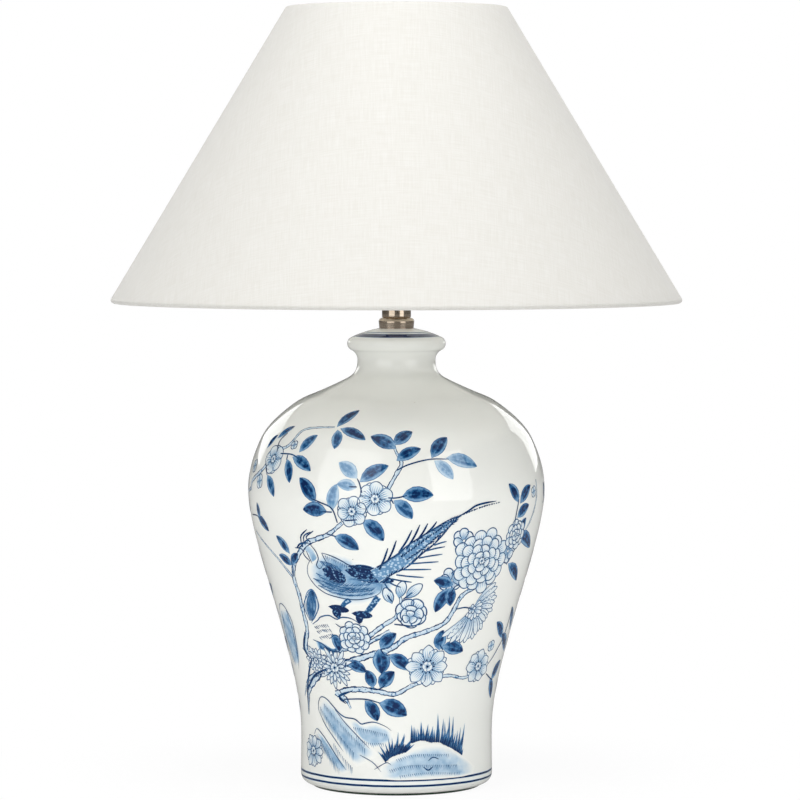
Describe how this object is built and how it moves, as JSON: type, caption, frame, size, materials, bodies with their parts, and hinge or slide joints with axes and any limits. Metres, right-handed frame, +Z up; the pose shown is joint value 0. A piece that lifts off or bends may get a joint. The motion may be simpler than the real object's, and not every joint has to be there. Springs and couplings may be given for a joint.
{
  "type": "table lamp",
  "caption": "Table lamp with a blue and white ceramic ginger jar base, a turn-knob socket under a wire harp, and a wide off-white cone shade that lifts off.",
  "frame": {"origin": "centre of the underside of the felt pad, on the surface the lamp stands on", "axes": "+Z up along the lamp pipe; -Y is the front, where the switch knob points; +X to the right seen from the front; the cord bushing is at the back, +Y"},
  "size_m": [0.5, 0.5, 0.6825],
  "materials": {
    "glaze": "glossy white glaze with cobalt blue painting under it",
    "felt": "short green felt",
    "nickel": "satin nickel",
    "zinc": "zinc plated steel",
    "brass": "plain brass",
    "phenolic": "black moulded phenolic",
    "knob": "black turned knob",
    "paper": "brown fibre sleeve",
    "rubber": "soft white bushing",
    "frosted_glass": "frosted white",
    "linen": "off-white fine linen",
    "styrene": "matt white styrene backing",
    "glass_black": "black vitrite"
  },
  "bodies": {
    "root": {"felt_pad": "felt", "jar": "glaze", "cord_grommet": "rubber", "lamp_pipe": "zinc", "base_washer": "zinc", "lock_washer": "zinc", "base_nut": "zinc", "top_washer": "zinc", "top_nut": "zinc", "seating_cup": "nickel", "neck_tube": "nickel", "harp_saddle": "nickel", "socket_cap": "nickel", "socket_set_screw": "zinc", "socket_shell": "nickel", "socket_insulator": "paper", "socket_body": "phenolic", "screw_shell": "brass", "centre_contact": "brass", "terminal_screw_1": "brass", "terminal_screw_2": "nickel"},
    "switch": {"switch_shaft": "nickel", "switch_knob": "knob"},
    "bulb": {"bulb_glass": "frosted_glass", "bulb_cap": "zinc", "bulb_insulator": "glass_black", "bulb_contact": "brass"},
    "harp_bow": {"harp": "nickel", "harp_top_block": "nickel"},
    "sleeve_left": {"ferrule_left": "nickel"},
    "sleeve_right": {"ferrule_right": "nickel"},
    "swivel": {"harp_stud": "nickel"},
    "shade": {"shade_fabric": "linen", "shade_liner": "styrene", "top_ring": "nickel", "bottom_ring": "nickel", "fitter_washer": "nickel", "spider_arm_1": "nickel", "spider_arm_2": "nickel", "spider_arm_3": "nickel"},
    "finial": {"finial": "nickel"}
  },
  "joints": [
    {"name": "switch_turn", "type": "hinge", "parent": "root", "child": "switch", "pos_m": [0, 0, 0.46871], "axis": [0, -1, 0], "continuous": true},
    {"name": "bulb_out", "type": "slide", "parent": "root", "child": "bulb", "axis": [0, 0, 1], "range_m": [0, 0.03]},
    {"name": "harp_lift", "type": "slide", "parent": "root", "child": "harp_bow", "axis": [0, 0, 1], "range_m": [0, 0.018]},
    {"name": "ferrule_left_slide", "type": "slide", "parent": "harp_bow", "child": "sleeve_left", "axis": [0, 0, 1], "range_m": [0, 0.03]},
    {"name": "ferrule_right_slide", "type": "slide", "parent": "harp_bow", "child": "sleeve_right", "axis": [0, 0, 1], "range_m": [0, 0.03]},
    {"name": "stud_swivel", "type": "hinge", "parent": "harp_bow", "child": "swivel", "pos_m": [0, 0, 0.65631], "axis": [0, 0, 1], "continuous": true},
    {"name": "shade_lift", "type": "slide", "parent": "swivel", "child": "shade", "axis": [0, 0, 1], "range_m": [0, 0.26]},
    {"name": "finial_turn", "type": "hinge", "parent": "shade", "child": "finial", "pos_m": [0, 0, 0.66041], "axis": [0, 0, 1], "continuous": true}
  ]
}
